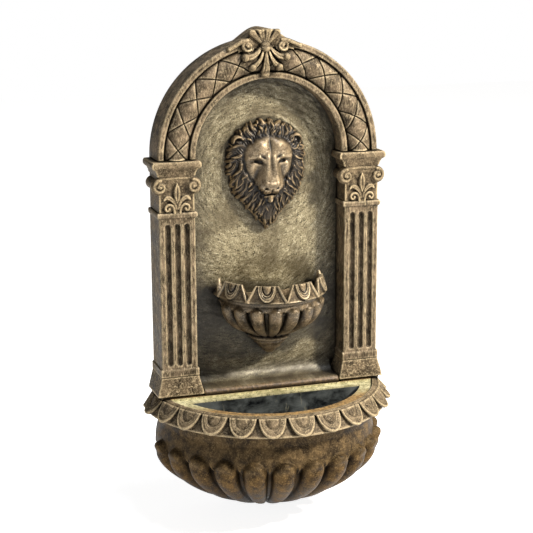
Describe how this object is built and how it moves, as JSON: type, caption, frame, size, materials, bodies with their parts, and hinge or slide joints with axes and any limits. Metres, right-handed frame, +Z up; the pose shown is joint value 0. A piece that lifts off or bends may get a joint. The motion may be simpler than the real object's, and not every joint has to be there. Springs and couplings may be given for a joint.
{
  "type": "garden wall fountain",
  "caption": "Wall-hung garden fountain: arched niche with pilasters, lion mask spout, small catch bowl and half-round gadrooned basin with a submersible pump.",
  "frame": {"origin": "on the wall plane at the centre of the arch, where the wall face mount is", "axes": "+Z up, +Y into the wall, +X to the right when facing the fountain"},
  "size_m": [0.427, 0.2355, 0.8003],
  "materials": {
    "cast_resin_bronze": "antique bronze paint on cast resin, gold-tan dry-brushed edges",
    "cast_resin_olive": "olive-bronze paint on trowelled cast resin",
    "glazed_liner": "dark moulded tub with a pale yellow-green flange",
    "grey_sheet": "plain dark sheet",
    "zinc_steel": "zinc plated",
    "stainless": "stainless spring steel",
    "black_plastic": "black moulded plastic",
    "black_rubber": "black rubber",
    "clear_black_hose": "flexible black vinyl hose",
    "filter_foam": "open-cell black foam",
    "ferrite_rotor": "ferrite magnet with a plastic wheel",
    "ceramic_pin": "ceramic pin"
  },
  "bodies": {
    "fountain": {"arch_frame": "cast_resin_bronze", "keystone_palmette": "cast_resin_bronze", "left_pilaster": "cast_resin_bronze", "right_pilaster": "cast_resin_bronze", "left_capital": "cast_resin_bronze", "right_capital": "cast_resin_bronze", "left_plinth": "cast_resin_bronze", "right_plinth": "cast_resin_bronze", "niche_panel": "cast_resin_olive", "lion_mask": "cast_resin_bronze", "upper_bowl": "cast_resin_bronze", "basin_rim": "cast_resin_bronze", "basin_bowl": "cast_resin_bronze", "basin_liner": "glazed_liner", "back_cover": "grey_sheet", "cover_screws": "zinc_steel", "hanger_plates": "zinc_steel", "hanger_screws": "zinc_steel", "mask_bolts": "zinc_steel", "bowl_bolts": "zinc_steel", "deck_bolts": "zinc_steel", "washers": "zinc_steel", "liner_grommets": "black_rubber", "cable_gland": "black_rubber", "riser_tube": "clear_black_hose", "hose_clamps": "stainless", "outlet_adapter": "black_plastic", "elbow_fitting": "black_plastic", "spout_lock_nut": "black_plastic", "spout_nozzle": "black_plastic", "pump_body": "black_plastic", "pump_volute_cover": "black_plastic", "impeller_shaft": "ceramic_pin", "impeller_bushes": "black_rubber", "filter_sponge": "filter_foam", "suction_feet": "black_rubber"},
    "impeller": {"impeller_rotor": "ferrite_rotor"},
    "grille": {"intake_grille": "black_plastic"},
    "dial": {"flow_dial": "black_plastic"}
  },
  "joints": [
    {"name": "impeller_spin", "type": "hinge", "parent": "fountain", "child": "impeller", "pos_m": [-0.0065, -0.111, -0.508], "axis": [1, 0, 0], "continuous": true},
    {"name": "grille_pull_off", "type": "slide", "parent": "fountain", "child": "grille", "axis": [1, 0, 0], "range_m": [0, 0.025]},
    {"name": "flow_dial_turn", "type": "hinge", "parent": "grille", "child": "dial", "pos_m": [0.0225, -0.111, -0.508], "axis": [1, 0, 0], "range_deg": [0, 90]}
  ]
}
